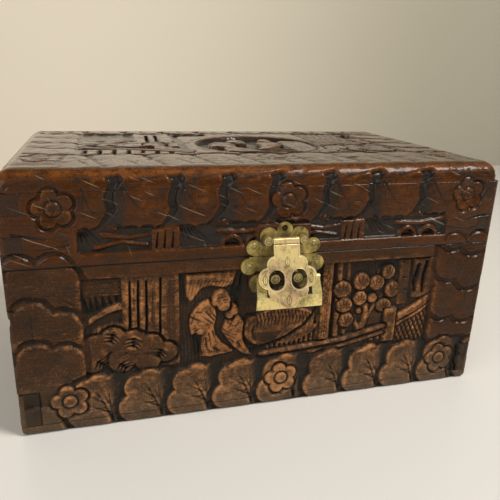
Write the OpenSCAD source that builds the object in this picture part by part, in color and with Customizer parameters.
// Wooden jewelry box with a hinged lid, a brass hasp lock and a lift-out tray.
// Every wall board is joined to its neighbours with finger joints.
// Millimetres. X runs along the front, Y from front to back, Z up.
// The origin is the middle of the underside.

/* [Box] */
// Width across the front
box_w = 300; // [240:1:400]
// Depth from front to back
box_d = 184; // [150:1:260]
// Height of the lower case, bottom board included
case_h = 103; // [95:1:160]
// Height of the lid, top board included
lid_h = 53; // [48:1:90]
// Thickness of the wall boards
wall_t = 12; // [9:0.5:16]
// Thickness of the bottom board
bottom_t = 6; // [4:0.5:12]
// Thickness of the top board
top_t = 12; // [11:0.5:16]

/* [Rounded edges] */
// Radius of the upright corners
corner_r = 3; // [1:0.5:6]
// Radius of the top board's corners, seen from above
top_corner_r = 8; // [4:0.5:14]
// Radius of the top board's upper edges
top_edge_r = 10; // [4:0.5:10.5]
// Radius of the edges under the bottom board
foot_edge_r = 3.5; // [1:0.5:3.5]

/* [Carved fields] */
// Depth that the carved fields are sunk below the faces
field_depth = 3; // [1:0.5:4]
// Depth below the faces at which the figures left standing in the fields end
scene_rest = 1; // [0.5:0.1:2]
// Width of the leaf columns beside the fields
side_border = 37; // [20:1:50]
// Height of the leaf row below the case's fields
foot_border = 35; // [20:1:45]
// Height of the plain strip along the joint of case and lid
strip_h = 7; // [4:0.5:10]
// Height of the sunk band on the lid
lid_band_h = 12; // [6:0.5:16]
// Width of the leaf row in front of the top's field
top_front_border = 53; // [30:1:60]
// Width of the leaf row behind the top's field
top_back_border = 27; // [20:1:60]

/* [Lock plates and hasp] */
// Distance of the lock to the right of the middle
lock_x = 5; // [-20:1:20]
// Thickness of the two plates
plate_t = 1.2; // [0.8:0.1:1.6]
// Half width of the upper plate
upper_plate_w = 23; // [20:0.5:27]
// Half width of the lower plate
lower_plate_w = 26; // [24:0.5:30]
// Height of the hasp's rod above the joint
hasp_rod_up = 10.3; // [9:0.1:12]
// Distance of the hasp's rod from the front face
hasp_rod_out = 3.5; // [3.4:0.1:5]
// Radius of both rods
rod_r = 0.8; // [0.6:0.05:0.9]
// Radial clearance of what turns on a rod or a pin
running_gap = 0.05; // [0.02:0.01:0.08]
// Distance between the two hasp posts
post_pitch = 22; // [21:0.5:26]
// Radius of a hasp post's head
post_r = 2.6; // [2:0.1:2.8]
// Thickness of the hasp
hasp_t = 1.15; // [0.8:0.05:1.3]
// Gap between the resting hasp and the drop plate's crease
hasp_rest_gap = 0.3; // [0.2:0.1:1]
// Outer radius of the hasp's rolled end
hasp_roll_r = 1.6; // [1.5:0.05:1.9]
// Width of the hasp's neck
hasp_neck_w = 15.8; // [12:0.1:16]
// Length of the hasp below its rod
hasp_length = 40; // [38:0.5:44]

/* [Studs and drop plate] */
// Distance between the two lock studs
stud_pitch = 14; // [12:0.5:15]
// Radius of a lock stud's head
stud_r = 2.9; // [2.3:0.1:3.2]
// Depth of the studs below the joint
stud_down = 12; // [11:0.5:13]
// Length that the studs stand out of the front face
stud_out = 9.6; // [9.2:0.1:9.8]
// Distance of the studs' rod from the front face
stud_rod_out = 7.8; // [7:0.1:8]
// Thickness of the drop plate
drop_t = 1.2; // [0.8:0.1:1.3]
// Width of the drop plate's lower band
drop_w = 41; // [38:0.5:44]
// Shift of the drop plate along its rod
drop_shift = 1.3; // [0:0.1:2]
// Outer radius of the drop plate's rolled eyes
drop_roll_r = 1.5; // [1.3:0.05:1.6]
// Depth of the drop plate's crease below its rod
drop_crease_down = 9.5; // [8:0.1:10]
// Distance of the drop plate's band from the front face
drop_band_out = 13.1; // [12:0.1:13.1]
// Height of the drop plate's band below the crease
drop_band_h = 7.6; // [5:0.1:9]

/* [Nails and washers] */
// Radius of a plate nail's head
nail_head_r = 2; // [1.5:0.1:2.4]
// Height of a plate nail's head
nail_head_h = 0.8; // [0.5:0.1:1]
// Radius of a plate nail's shank
nail_r = 0.7; // [0.5:0.1:0.9]
// Length of a plate nail's shank
nail_l = 8; // [5:0.5:8.5]
// Radius of the tails that hold posts and studs
tail_r = 1.3; // [1:0.1:1.5]
// Radius of the washers inside
washer_r = 3.4; // [2.5:0.1:4]
// Thickness of the washers inside
washer_t = 0.8; // [0.5:0.1:1]

/* [Hinges] */
// Distance of each hinge from the box's end
hinge_end = 58; // [40:1:80]
// Length of a hinge along its pin
hinge_l = 32; // [24:1:44]
// Width of a leaf let into a board's edge
leaf_w = 9.5; // [8.5:0.1:9.5]
// Thickness of a leaf
leaf_t = 1.2; // [1:0.1:1.5]
// Outer radius of the knuckles
knuckle_r = 2.2; // [2:0.1:2.6]
// Radius of a hinge pin
pin_r = 1.1; // [0.8:0.05:1.2]
// Gap between the knuckles, and from them to the box
hinge_gap = 0.3; // [0.2:0.05:0.5]
// Radius of a hinge screw's head
screw_head_r = 2.2; // [1.8:0.1:2.4]
// Radius of a hinge screw's shank
screw_r = 1.1; // [0.8:0.1:1.3]
// Length of a hinge screw
screw_l = 9; // [6:0.5:12]

/* [Tray] */
// Height of the tray
tray_h = 34; // [20:1:42]
// Thickness of the tray's rim boards
tray_wall = 6; // [4:0.5:8]
// Thickness of the tray's bottom
tray_floor = 4; // [3:0.5:6]
// Thickness of the tray's dividers
divider_t = 4; // [3:0.5:6]
// Gap between the tray and the walls
tray_gap = 2.5; // [2:0.1:4]
// Depth of the tray's rim below the case's rim
tray_drop = 6; // [2:0.5:10]
// Width of the tray's front compartment as a share of the inside
tray_front_share = 0.56; // [0.4:0.01:0.7]
// Height of the strips that the tray sits on
cleat_h = 8; // [5:0.5:12]
// Width of the strips that the tray sits on
cleat_w = 8; // [5:0.5:10]
// Radius of the finger notches in the tray's ends
notch_r = 14; // [10:0.5:16]

/* [Hidden] */

// Colours of the finishes
CARVED_WOOD = [0.30, 0.16, 0.09];
INNER_WOOD = [0.52, 0.34, 0.20];
TARNISHED_BRASS = [0.55, 0.49, 0.28];
WORN_BRASS = [0.70, 0.61, 0.42];
BRIGHT_BRASS = [0.80, 0.72, 0.42];
STEEL = [0.55, 0.54, 0.50];

// Cuts run this far past the faces that they open
past = 1;
// Fineness of true rounds
round_fn = 64;

// Faces and levels of the box
front_y = -box_d / 2;
back_y = box_d / 2;
inner_w = box_w - 2 * wall_t;
inner_d = box_d - 2 * wall_t;
rail_top = case_h + lid_h - top_t;
box_h = case_h + lid_h;

// Finger joints: where each cut lies, as shares of the board's height from
// its foot. The fingers are cut by hand and aren't all alike.
case_shares = [0, 0.222, 0.505, 0.753, 1];
lid_shares = [0, 0.2, 0.44, 0.72, 1];
// Which fingers, counted from the foot, belong to the end boards
CASE_END_FINGERS = [0, 2];
CASE_LONG_FINGERS = [1, 3];
LID_END_FINGERS = [1, 3];
LID_LONG_FINGERS = [0, 2];

// Levels of the sunk fields
case_field_foot = foot_border;
case_field_head = case_h - strip_h - 1;
lid_field_foot = case_h + strip_h;
lid_field_head = lid_field_foot + lid_band_h;

// Widths and heights of the fields of the front and the top
field_w = box_w - 2 * side_border;
front_field = [field_w, case_field_head - case_field_foot];
top_field = [field_w, box_d - top_front_border - top_back_border];
// Garden on the front: rocks, two people and the tufts of a tree.
// Place across and up as shares of the field, and radius as a share of its height
garden_discs = [
    [0.027, 0.150, 0.150], [0.084, 0.183, 0.167], [0.146, 0.217, 0.167], [0.204, 0.133, 0.150],
    [0.062, 0.350, 0.133], [0.128, 0.383, 0.150], [0.186, 0.317, 0.117],
    [0.314, 0.483, 0.183], [0.305, 0.183, 0.167], [0.354, 0.117, 0.133], [0.363, 0.650, 0.083],
    [0.394, 0.383, 0.167], [0.412, 0.200, 0.133],
    [0.708, 0.683, 0.093], [0.765, 0.757, 0.093], [0.814, 0.723, 0.090], [0.848, 0.833, 0.087],
    [0.865, 0.633, 0.093], [0.717, 0.500, 0.087], [0.765, 0.567, 0.087], [0.804, 0.557, 0.080],
    [0.843, 0.460, 0.082], [0.727, 0.323, 0.083]];
// Fence, bark, gate post, bank, window frame, boat's awning and tree trunk: two corners of each
garden_slabs = [
    [0.104, 0.250, 0.248, 1], [0.645, 0.050, 0.674, 1], [0.850, 0.067, 0.887, 0.417],
    [0.894, 0, 0.982, 0.333], [0.920, 0.517, 0.991, 0.950], [0.465, 0.317, 0.637, 0.517],
    [0.743, 0.083, 0.774, 0.417]];
// The boat's hull is the part of a disc below a level
hull_disc = [0.553, 0.583, 0.433];
hull_slab = [0.440, 0, 0.665, 0.317];
// Terrace on the top: people in the gate, the rocks on the left and those on the right
terrace_discs = [
    [0.447, 0.317, 0.115], [0.460, 0.452, 0.067], [0.606, 0.337, 0.125], [0.597, 0.490, 0.077],
    [0.066, 0.433, 0.096], [0.128, 0.490, 0.106], [0.190, 0.433, 0.087],
    [0.880, 0.125, 0.115], [0.942, 0.106, 0.096]];
// Pavilion, railing, roof and post
terrace_slabs = [
    [0.190, 0.452, 0.301, 0.981], [0.013, 0.030, 0.314, 0.200],
    [0.783, 0.375, 0.934, 0.971], [0.783, 0.030, 0.812, 0.375]];
// The wall with its round gate and the dark recess above it
gate_wall = [0.332, 0, 0.774, 1];
gate_disc = [0.562, 0.385, 0.433];
gate_recess = [0.332, 0.856, 0.438, 1];

// Lock: levels and distances
hasp_rod_z = case_h + hasp_rod_up;
hasp_rod_y = front_y - hasp_rod_out;
stud_z = case_h - stud_down;
stud_rod_y = front_y - stud_rod_out;
drop_x = lock_x + drop_shift;
drop_crease_z = stud_z - drop_crease_down;
drop_foot_z = drop_crease_z - drop_band_h;
plate_front_y = front_y - plate_t;
// The hasp leans on the drop plate's crease, which sets its angle
crease_fall = hasp_rod_z - drop_crease_z;
crease_reach = drop_band_out - hasp_rod_out;
hasp_tilt = atan(crease_reach / crease_fall)
    - asin((hasp_roll_r - hasp_t - hasp_rest_gap) / norm([crease_fall, crease_reach]));
// The plates' outlines are drawn for half widths of 23 and 26, the hasp's for a length of 40
upper_k = upper_plate_w / 23;
lower_k = lower_plate_w / 26;
hasp_k = hasp_length / 40;
nail_places_low = [[-21.4, -6.6] * lower_k, [21.4, -6.6] * lower_k, [0, -21.5] * lower_k];
nail_places_up = [[-18.6, 6.6] * upper_k, [18.6, 6.6] * upper_k];
empty_hole = [0, 16.8] * upper_k;
empty_hole_r = 1.9 * upper_k;
// Space left between what meets along the joint
joint_play = 0.15;
// Length of the posts' and studs' tails, through plate and board
rivet_h = 0.4;
tail_l = plate_t + wall_t + washer_t + rivet_h;
// Half lengths of the two rods
hasp_rod_half = post_pitch / 2 + post_r * 0.7;
stud_rod_half = drop_w / 2 - 1;
// Half width of the window between the drop plate's legs
drop_leg_w = 6.5;
drop_window = drop_w / 2 - drop_leg_w;

// Hinges
hinge_x = box_w / 2 - hinge_end;
pin_y = back_y + knuckle_r + hinge_gap;
leaf_inner_y = back_y - leaf_w;
knuckle_l = (hinge_l - 2 * hinge_gap) / 3;
screw_y = back_y - leaf_w / 2;
screw_spread = hinge_l / 3.2;
CASE_KNUCKLES = [0, 2];
LID_KNUCKLES = [1];

// Tray
tray_top = case_h - tray_drop;
tray_foot = tray_top - tray_h;
tray_w = inner_w - 2 * tray_gap;
tray_d = inner_d - 2 * tray_gap;
tray_inner_w = tray_w - 2 * tray_wall;
tray_inner_d = tray_d - 2 * tray_wall;
divider_y = -tray_inner_d / 2 + tray_inner_d * tray_front_share;
divider_top = tray_top - 4;
tray_rebate = tray_wall / 2;

// ---------------------------------------------------------------- boards

// A block from one corner to the opposite one
module block(low, high) {
    translate(low) cube(high - low);
}

// What is cut away to round the four upright corners of the box
module upright_corner_cuts(r, z0, z1) {
    for (sx = [0, 1], sy = [0, 1])
        mirror([sx, 0, 0]) mirror([0, sy, 0])
            translate([box_w / 2 - r, box_d / 2 - r, 0])
                difference() {
                    block([0, 0, z0 - past], [r + past, r + past, z1 + past]);
                    translate([0, 0, z0 - 2 * past])
                        cylinder(r = r, h = z1 - z0 + 4 * past, $fn = round_fn);
                }
}

// The places of the fingers numbered in which, as boxes that stand at an end
module finger_cuts(z0, z1, shares, which, low, high) {
    for (i = which) {
        foot = z0 + (z1 - z0) * shares[i];
        head = z0 + (z1 - z0) * shares[i + 1];
        open_low = i == 0 ? past : 0;
        open_high = i == len(shares) - 2 ? past : 0;
        block([low[0], low[1], foot - open_low], [high[0], high[1], head + open_high]);
    }
}

// A front or back board: the end boards' fingers are cut out of its ends
module long_board(y0, z0, z1, shares, end_fingers) {
    difference() {
        block([-box_w / 2, y0, z0], [box_w / 2, y0 + wall_t, z1]);
        for (side = [0, 1])
            mirror([side, 0, 0])
                finger_cuts(z0, z1, shares, end_fingers,
                    [box_w / 2 - wall_t, y0 - past], [box_w / 2 + past, y0 + wall_t + past]);
    }
}

// An end board, on the right: the long boards' fingers are cut out of its ends
module end_board(z0, z1, shares, long_fingers) {
    difference() {
        block([box_w / 2 - wall_t, -box_d / 2, z0], [box_w / 2, box_d / 2, z1]);
        for (side = [0, 1])
            mirror([0, side, 0])
                finger_cuts(z0, z1, shares, long_fingers,
                    [box_w / 2 - wall_t - past, box_d / 2 - wall_t], [box_w / 2 + past, box_d / 2 + past]);
    }
}

// Sunk field of the right end
module end_field(z0, z1) {
    block([box_w / 2 - field_depth, -box_d / 2 + side_border, z0],
        [box_w / 2 + past, box_d / 2 - side_border, z1]);
}

module front_board() {
    color(CARVED_WOOD)
    difference() {
        long_board(front_y, bottom_t, case_h, case_shares, CASE_END_FINGERS);
        upright_corner_cuts(corner_r, bottom_t, case_h);
        front_field_cut();
        lower_nail_shanks();
        stud_tails();
    }
}

// A disc in a field of the given size
module field_disc(size, place) {
    translate([place[0] * size[0], place[1] * size[1]]) circle(r = place[2] * size[1], $fn = round_fn);
}

// A rectangle in a field of the given size, between two corners
module field_slab(size, place) {
    translate([place[0] * size[0], place[1] * size[1]])
        square([(place[2] - place[0]) * size[0], (place[3] - place[1]) * size[1]]);
}

// Outlines of what stands up in the front's field
module garden_shape() {
    intersection() {
        square(front_field);
        union() {
            for (place = garden_discs) field_disc(front_field, place);
            for (place = garden_slabs) field_slab(front_field, place);
            intersection() {
                field_disc(front_field, hull_disc);
                field_slab(front_field, hull_slab);
            }
        }
    }
}

// Outlines of what stands up in the top's field
module terrace_shape() {
    intersection() {
        square(top_field);
        union() {
            difference() {
                field_slab(top_field, gate_wall);
                field_disc(top_field, gate_disc);
                field_slab(top_field, gate_recess);
            }
            for (place = terrace_discs) field_disc(top_field, place);
            for (place = terrace_slabs) field_slab(top_field, place);
        }
    }
}

// The field of the case's front goes round its figures and a flat pad left for the lock
module front_field_cut() {
    pad_w = lower_plate_w - 7;
    pad_foot = case_h - 24;
    field_l = -field_w / 2;
    difference() {
        block([field_l, front_y - past, case_field_foot],
            [field_w / 2, front_y + field_depth, case_field_head]);
        translate([field_l, front_y + field_depth + past, case_field_foot]) rotate([90, 0, 0])
            linear_extrude(field_depth + past - scene_rest) garden_shape();
        block([lock_x - pad_w, front_y - 2 * past, pad_foot],
            [lock_x + pad_w, front_y + 2 * field_depth, case_h]);
    }
}

module back_board() {
    color(CARVED_WOOD)
    difference() {
        long_board(back_y - wall_t, bottom_t, case_h, case_shares, CASE_END_FINGERS);
        upright_corner_cuts(corner_r, bottom_t, case_h);
        block([-box_w / 2 + side_border, back_y - field_depth, case_field_foot],
            [box_w / 2 - side_border, back_y + past, case_field_head]);
        leaf_seats(case_h - leaf_t, case_h + past);
        case_screw_shapes();
    }
}

module right_board() {
    color(CARVED_WOOD)
    difference() {
        end_board(bottom_t, case_h, case_shares, CASE_LONG_FINGERS);
        upright_corner_cuts(corner_r, bottom_t, case_h);
        end_field(case_field_foot, case_field_head);
    }
}

module left_board() {
    mirror([1, 0, 0]) right_board();
}

// Outline across a board whose edges on one side are rounded with radius r
module edge_outline(w, h, r) {
    intersection() {
        translate([-w / 2, 0]) square([w, h]);
        union() {
            translate([-w / 2, 0]) square([w, h - r]);
            translate([-w / 2 + r, 0]) square([w - 2 * r, h]);
            for (side = [-1, 1])
                translate([side * (w / 2 - r), h - r]) circle(r = r, $fn = round_fn);
        }
    }
}

// A board that covers the whole box, flat below, with its upper edges rounded
module cover_board(h, edge_r, corner) {
    difference() {
        intersection() {
            rotate([90, 0, 90])
                translate([0, 0, -box_w / 2]) linear_extrude(box_w) edge_outline(box_d, h, edge_r);
            rotate([90, 0, 0])
                translate([0, 0, -box_d / 2]) linear_extrude(box_d) edge_outline(box_w, h, edge_r);
        }
        upright_corner_cuts(corner, 0, h);
    }
}

module bottom_board() {
    color(CARVED_WOOD)
    translate([0, 0, bottom_t]) mirror([0, 0, 1]) cover_board(bottom_t, foot_edge_r, corner_r);
}

module tray_cleats() {
    color(INNER_WOOD)
    for (side = [0, 1])
        mirror([side, 0, 0])
            block([inner_w / 2 - cleat_w, -inner_d / 2, tray_foot - cleat_h],
                [inner_w / 2, inner_d / 2, tray_foot]);
}

// ---------------------------------------------------------------- lid

module lid_front_rail() {
    pad_w = upper_plate_w - 6;
    color(CARVED_WOOD)
    difference() {
        long_board(front_y, case_h, rail_top, lid_shares, LID_END_FINGERS);
        upright_corner_cuts(corner_r, case_h, rail_top);
        difference() {
            block([-box_w / 2 + side_border, front_y - past, lid_field_foot],
                [box_w / 2 - side_border, front_y + field_depth, lid_field_head]);
            block([lock_x - pad_w, front_y - 2 * past, case_h],
                [lock_x + pad_w, front_y + 2 * field_depth, rail_top]);
        }
        upper_nail_shanks();
        post_tails();
    }
}

module lid_back_rail() {
    color(CARVED_WOOD)
    difference() {
        long_board(back_y - wall_t, case_h, rail_top, lid_shares, LID_END_FINGERS);
        upright_corner_cuts(corner_r, case_h, rail_top);
        block([-box_w / 2 + side_border, back_y - field_depth, lid_field_foot],
            [box_w / 2 - side_border, back_y + past, lid_field_head]);
        leaf_seats(case_h - past, case_h + leaf_t);
        lid_screw_shapes();
    }
}

module lid_right_rail() {
    color(CARVED_WOOD)
    difference() {
        end_board(case_h, rail_top, lid_shares, LID_LONG_FINGERS);
        upright_corner_cuts(corner_r, case_h, rail_top);
        end_field(lid_field_foot, lid_field_head);
    }
}

module lid_left_rail() {
    mirror([1, 0, 0]) lid_right_rail();
}

module top_board() {
    color(CARVED_WOOD)
    difference() {
        translate([0, 0, rail_top]) cover_board(top_t, top_edge_r, top_corner_r);
        difference() {
            block([-field_w / 2, front_y + top_front_border, box_h - field_depth],
                [field_w / 2, back_y - top_back_border, box_h + past]);
            translate([-field_w / 2, front_y + top_front_border, box_h - field_depth - past])
                linear_extrude(field_depth + past - scene_rest) terrace_shape();
        }
    }
}

// ---------------------------------------------------------------- lock

// Puts a flat shape, drawn in X and Z about the lock, on the front face
module on_front(t) {
    translate([lock_x, front_y, case_h]) rotate([90, 0, 0]) linear_extrude(t) children();
}

// Lobed outline of the upper plate, flat along the joint
module upper_plate_outline() {
    difference() {
        union() {
            translate([-18.4, 0] * upper_k) square([36.8, 9] * upper_k);
            translate([-11, 0] * upper_k) square([22, 15] * upper_k);
            translate([0, 15.4] * upper_k) circle(r = 5 * upper_k, $fn = round_fn);
            for (side = [-1, 1]) {
                translate([side * 9.6, 12] * upper_k) circle(r = 5.4 * upper_k, $fn = round_fn);
                translate([side * 18.4, 5.4] * upper_k) circle(r = 4.6 * upper_k, $fn = round_fn);
            }
        }
        translate([-upper_plate_w, -20]) square([2 * upper_plate_w, 20 + joint_play]);
    }
}

// Lobed outline of the lower plate, flat along the joint
module lower_plate_outline() {
    difference() {
        union() {
            translate([-21, -9] * lower_k) square([42, 9] * lower_k);
            translate([-14, -19] * lower_k) square([28, 19] * lower_k);
            translate([0, -20.5] * lower_k) circle(r = 5.5 * lower_k, $fn = round_fn);
            for (side = [-1, 1]) {
                translate([side * 15, -17] * lower_k) circle(r = 5.6 * lower_k, $fn = round_fn);
                translate([side * 21, -6] * lower_k) circle(r = 5 * lower_k, $fn = round_fn);
            }
        }
        translate([-lower_plate_w, -joint_play]) square([2 * lower_plate_w, 20]);
    }
}

module upper_lock_plate() {
    color(TARNISHED_BRASS)
    difference() {
        on_front(plate_t) upper_plate_outline();
        on_front(plate_t + past) translate(empty_hole) circle(r = empty_hole_r, $fn = round_fn);
        upper_nail_shanks();
        post_tails();
    }
}

module lower_lock_plate() {
    color(TARNISHED_BRASS)
    difference() {
        on_front(plate_t) lower_plate_outline();
        lower_nail_shanks();
        stud_tails();
    }
}

// A round bar that runs into the front from y0 inwards, at x and z
module inward_bar(x, z, r, y0, length) {
    translate([x, y0, z]) rotate([-90, 0, 0]) cylinder(r = r, h = length, $fn = round_fn);
}

module nail_shanks(places) {
    for (p = places)
        inward_bar(lock_x + p[0], case_h + p[1], nail_r, plate_front_y, nail_l);
}

module lower_nail_shanks() {
    nail_shanks(nail_places_low);
}

module upper_nail_shanks() {
    nail_shanks(nail_places_up);
}

// Low domed heads on the plate, turned about each nail
module nail_heads(places) {
    dome_r = (nail_head_r * nail_head_r + nail_head_h * nail_head_h) / (2 * nail_head_h);
    for (p = places)
        translate([lock_x + p[0], plate_front_y, case_h + p[1]])
            rotate([90, 0, 0])
                rotate_extrude($fn = round_fn)
                    intersection() {
                        square([nail_head_r, nail_head_h]);
                        translate([0, nail_head_h - dome_r]) circle(r = dome_r, $fn = 4 * round_fn);
                    }
}

module lower_plate_nails() {
    color(TARNISHED_BRASS) {
        lower_nail_shanks();
        nail_heads(nail_places_low);
    }
}

module upper_plate_nails() {
    color(TARNISHED_BRASS) {
        upper_nail_shanks();
        nail_heads(nail_places_up);
    }
}

module post_tails() {
    for (side = [-1, 1])
        inward_bar(lock_x + side * post_pitch / 2, hasp_rod_z, tail_r, plate_front_y, tail_l);
}

module stud_tails() {
    for (side = [-1, 1])
        inward_bar(lock_x + side * stud_pitch / 2, stud_z, tail_r, plate_front_y, tail_l);
}

// A turned post that stands out of the plate: a foot ring, a waist and a
// head with a low dome. Its rod passes through the head at rod_at.
module turned_post(x, z, head_r, length, head_l) {
    foot_l = 0.8;
    waist_r = 0.8 * head_r;
    dome_r = 2.2 * head_r;
    translate([x, plate_front_y, z])
        rotate([90, 0, 0])
            rotate_extrude($fn = round_fn) {
                square([head_r, foot_l]);
                square([waist_r, length - head_l + 0.1]);
                intersection() {
                    translate([0, length - head_l]) square([head_r, head_l]);
                    translate([0, length - dome_r]) circle(r = dome_r, $fn = 4 * round_fn);
                }
            }
}

// A round bar along X
module cross_bar(x0, x1, y, z, r) {
    translate([x0, y, z]) rotate([0, 90, 0]) cylinder(r = r, h = x1 - x0, $fn = round_fn);
}

module hasp_rod() {
    color(TARNISHED_BRASS)
    cross_bar(lock_x - hasp_rod_half, lock_x + hasp_rod_half, hasp_rod_y, hasp_rod_z, rod_r);
}

module hasp_posts() {
    post_out = hasp_rod_out + post_r - plate_t;
    color(TARNISHED_BRASS)
    for (side = [-1, 1])
        difference() {
            union() {
                turned_post(lock_x + side * post_pitch / 2, hasp_rod_z, post_r, post_out, 2 * post_r - 0.6);
                inward_bar(lock_x + side * post_pitch / 2, hasp_rod_z, tail_r, plate_front_y, tail_l);
            }
            cross_bar(lock_x - hasp_rod_half, lock_x + hasp_rod_half, hasp_rod_y, hasp_rod_z, rod_r);
        }
}

module stud_rod() {
    color(TARNISHED_BRASS)
    cross_bar(drop_x - stud_rod_half, drop_x + stud_rod_half, stud_rod_y, stud_z, rod_r);
}

module lock_studs() {
    color(TARNISHED_BRASS)
    for (side = [-1, 1])
        difference() {
            union() {
                turned_post(lock_x + side * stud_pitch / 2, stud_z, stud_r, stud_out - plate_t, 3.9);
                inward_bar(lock_x + side * stud_pitch / 2, stud_z, tail_r, plate_front_y, tail_l);
            }
            cross_bar(drop_x - stud_rod_half, drop_x + stud_rod_half, stud_rod_y, stud_z, rod_r);
        }
}

// Washers inside the box, over which the tails are riveted
module washers(pitch, z) {
    for (side = [-1, 1])
        difference() {
            inward_bar(lock_x + side * pitch / 2, z, washer_r, front_y + wall_t, washer_t);
            inward_bar(lock_x + side * pitch / 2, z, tail_r, plate_front_y, tail_l);
        }
}

module stud_washers() {
    color(STEEL) washers(stud_pitch, stud_z);
}

module post_washers() {
    color(STEEL) washers(post_pitch, hasp_rod_z);
}

// Lobed outline of the hasp in its own plane, hanging down from its rod
module hasp_outline() {
    translate([-hasp_neck_w / 2, -12 * hasp_k]) square([hasp_neck_w, 12 * hasp_k]);
    translate([-10.5, -28] * hasp_k) square([21, 17] * hasp_k);
    translate([0, -33.6] * hasp_k) circle(r = 6.4 * hasp_k, $fn = round_fn);
    for (side = [-1, 1]) {
        translate([side * 7.3, -14.3] * hasp_k) circle(r = 5.2 * hasp_k, $fn = round_fn);
        translate([side * 11.6, -22] * hasp_k) circle(r = 6.4 * hasp_k, $fn = round_fn);
        translate([side * 7.4, -29.4] * hasp_k) circle(r = 5 * hasp_k, $fn = round_fn);
    }
}

// The two upright oval holes that pass over the studs
module hasp_hole_outline() {
    hole_r = 5 * hasp_k;
    hole_drop = (stud_down + hasp_rod_up) / cos(hasp_tilt);
    for (side = [-1, 1])
        translate([side * stud_pitch / 2, -hole_drop]) {
            translate([0, 1]) circle(r = hole_r, $fn = round_fn);
            translate([0, -1]) circle(r = hole_r, $fn = round_fn);
            translate([-hole_r, -1]) square([2 * hole_r, 2]);
        }
}

module hasp() {
    roll_half = hasp_neck_w / 2;
    color(WORN_BRASS)
    translate([lock_x, hasp_rod_y, hasp_rod_z])
        rotate([-hasp_tilt, 0, 0])
            difference() {
                union() {
                    translate([0, -hasp_roll_r + hasp_t, 0])
                        rotate([90, 0, 0]) linear_extrude(hasp_t) hasp_outline();
                    cross_bar(-roll_half, roll_half, 0, 0, hasp_roll_r);
                }
                translate([0, -hasp_roll_r + hasp_t + past, 0])
                    rotate([90, 0, 0]) linear_extrude(hasp_t + 2 * past) hasp_hole_outline();
                cross_bar(-roll_half - past, roll_half + past, 0, 0, rod_r + running_gap);
            }
}

// Side view of the drop plate, with Y outwards and Z up from its rod:
// a leg that slopes out to the crease, then the upright band
module drop_outline() {
    leg_out = drop_band_out - stud_rod_out;
    slope = drop_t / cos(atan((leg_out - drop_t / 2) / drop_crease_down));
    polygon([
        [-slope / 2, 0], [slope / 2, 0],
        [leg_out, -drop_crease_down], [leg_out, -drop_crease_down - drop_band_h],
        [leg_out - drop_t, -drop_crease_down - drop_band_h], [leg_out - drop_t, -drop_crease_down],
    ]);
}

module drop_plate() {
    taper = 1;
    color(BRIGHT_BRASS)
    translate([drop_x, stud_rod_y, stud_z])
        difference() {
            intersection() {
                union() {
                    rotate([90, 0, -90])
                        translate([0, 0, -drop_w / 2]) linear_extrude(drop_w) drop_outline();
                    cross_bar(-drop_w / 2, drop_w / 2, 0, 0, drop_roll_r);
                }
                rotate([90, 0, 0])
                    translate([0, 0, -box_d / 4])
                        linear_extrude(box_d / 2)
                            polygon([
                                [-drop_w / 2 + taper, drop_roll_r + past],
                                [drop_w / 2 - taper, drop_roll_r + past],
                                [drop_w / 2, -drop_crease_down - drop_band_h - past],
                                [-drop_w / 2, -drop_crease_down - drop_band_h - past],
                            ]);
            }
            block([-drop_window, -box_d / 4, -drop_crease_down],
                [drop_window, box_d / 4, drop_roll_r + past]);
            cross_bar(-drop_w / 2 - past, drop_w / 2 + past, 0, 0, rod_r + running_gap);
        }
}

// ---------------------------------------------------------------- hinges

// Seats cut into the boards' edges for the leaves of both hinges
module leaf_seats(z0, z1) {
    for (side = [-1, 1])
        block([side * hinge_x - hinge_l / 2, leaf_inner_y, z0],
            [side * hinge_x + hinge_l / 2, back_y + past, z1]);
}

// Where knuckle i of three begins, from the hinge's middle
function knuckle_x(i) = -hinge_l / 2 + i * (knuckle_l + hinge_gap);

// One leaf with the knuckles numbered in mine; z0 and z1 are its faces
module leaf(x, z0, z1, mine, others) {
    translate([x, 0, 0])
        difference() {
            union() {
                block([-hinge_l / 2, leaf_inner_y, z0], [hinge_l / 2, pin_y, z1]);
                for (i = mine)
                    cross_bar(knuckle_x(i), knuckle_x(i) + knuckle_l, pin_y, case_h, knuckle_r);
            }
            for (i = others)
                cross_bar(knuckle_x(i) - hinge_gap, knuckle_x(i) + knuckle_l + hinge_gap,
                    pin_y, case_h, knuckle_r + hinge_gap);
            leaf_bore(z0 < case_h ? 0 : running_gap);
        }
}

// The bore for the pin: tight in the case's knuckles, running in the lid's
module leaf_bore(play) {
    cross_bar(-hinge_l / 2 - past, hinge_l / 2 + past, pin_y, case_h, pin_r + play);
}

module case_leaf(x) {
    color(TARNISHED_BRASS)
    difference() {
        leaf(x, case_h - leaf_t, case_h, CASE_KNUCKLES, LID_KNUCKLES);
        case_screw_shapes();
    }
}

module lid_leaf(x) {
    color(TARNISHED_BRASS)
    difference() {
        leaf(x, case_h, case_h + leaf_t, LID_KNUCKLES, CASE_KNUCKLES);
        lid_screw_shapes();
    }
}

module left_case_leaf() {
    case_leaf(-hinge_x);
}

module right_case_leaf() {
    case_leaf(hinge_x);
}

module left_lid_leaf() {
    lid_leaf(-hinge_x);
}

module right_lid_leaf() {
    lid_leaf(hinge_x);
}

module hinge_pin(x) {
    color(TARNISHED_BRASS)
    cross_bar(x - hinge_l / 2, x + hinge_l / 2, pin_y, case_h, pin_r);
}

module left_hinge_pin() {
    hinge_pin(-hinge_x);
}

module right_hinge_pin() {
    hinge_pin(hinge_x);
}

// A countersunk screw with its head flush at z = 0 and its shank upwards
module screw_shape() {
    cylinder(r1 = screw_head_r, r2 = screw_r, h = leaf_t, $fn = round_fn);
    cylinder(r = screw_r, h = screw_l, $fn = round_fn);
}

module screws(up) {
    for (side = [-1, 1], i = [-1, 1])
        translate([side * hinge_x + i * screw_spread, screw_y, case_h])
            mirror([0, 0, up ? 0 : 1]) screw_shape();
}

module case_screw_shapes() {
    screws(false);
}

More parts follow.
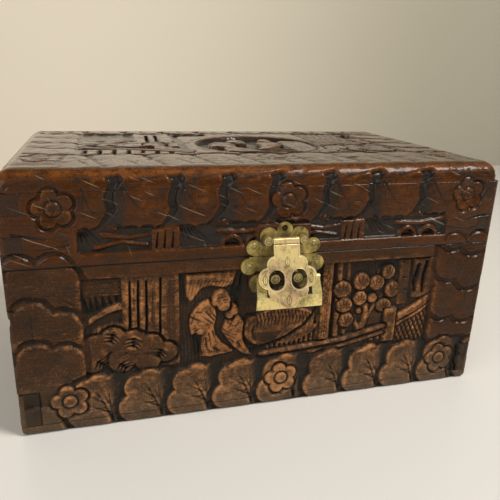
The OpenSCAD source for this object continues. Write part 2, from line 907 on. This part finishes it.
module lid_screw_shapes() {
    screws(true);
}

module case_hinge_screws() {
    color(TARNISHED_BRASS) case_screw_shapes();
}

module lid_hinge_screws() {
    color(TARNISHED_BRASS) lid_screw_shapes();
}

// ---------------------------------------------------------------- tray

// The tray's floor sits in a rebate round the foot of its rim
module tray_floor_space() {
    block([-tray_inner_w / 2 - tray_rebate, -tray_inner_d / 2 - tray_rebate, tray_foot - past],
        [tray_inner_w / 2 + tray_rebate, tray_inner_d / 2 + tray_rebate, tray_foot + tray_floor]);
}

module tray_bottom() {
    color(INNER_WOOD)
    block([-tray_inner_w / 2 - tray_rebate, -tray_inner_d / 2 - tray_rebate, tray_foot],
        [tray_inner_w / 2 + tray_rebate, tray_inner_d / 2 + tray_rebate, tray_foot + tray_floor]);
}

module tray_front() {
    color(INNER_WOOD)
    difference() {
        block([-tray_w / 2, -tray_d / 2, tray_foot], [tray_w / 2, -tray_inner_d / 2, tray_top]);
        tray_floor_space();
    }
}

module tray_back() {
    mirror([0, 1, 0]) tray_front();
}

// The ends fit between the long rims and have a finger notch each
module tray_right_end() {
    color(INNER_WOOD)
    difference() {
        block([tray_inner_w / 2, -tray_inner_d / 2, tray_foot], [tray_w / 2, tray_inner_d / 2, tray_top]);
        tray_floor_space();
        cross_bar(tray_inner_w / 2 - past, tray_w / 2 + past, 0, tray_top + notch_r / 3, notch_r);
    }
}

module tray_left_end() {
    mirror([1, 0, 0]) tray_right_end();
}

module tray_long_divider() {
    color(INNER_WOOD)
    block([-tray_inner_w / 2, divider_y, tray_foot + tray_floor],
        [tray_inner_w / 2, divider_y + divider_t, divider_top]);
}

// Two short dividers share the back of the tray in three
module tray_cross_dividers() {
    color(INNER_WOOD)
    for (side = [-1, 1])
        translate([side * tray_inner_w / 6, 0, 0])
            block([-divider_t / 2, divider_y + divider_t, tray_foot + tray_floor],
                [divider_t / 2, tray_inner_d / 2, divider_top]);
}

front_board();
back_board();
left_board();
right_board();
bottom_board();
tray_cleats();
lower_lock_plate();
lower_plate_nails();
lock_studs();
stud_washers();
stud_rod();
left_case_leaf();
right_case_leaf();
left_hinge_pin();
right_hinge_pin();
case_hinge_screws();
lid_front_rail();
lid_back_rail();
lid_left_rail();
lid_right_rail();
top_board();
upper_lock_plate();
upper_plate_nails();
hasp_posts();
post_washers();
hasp_rod();
left_lid_leaf();
right_lid_leaf();
lid_hinge_screws();
hasp();
drop_plate();
tray_front();
tray_back();
tray_left_end();
tray_right_end();
tray_bottom();
tray_long_divider();
tray_cross_dividers();
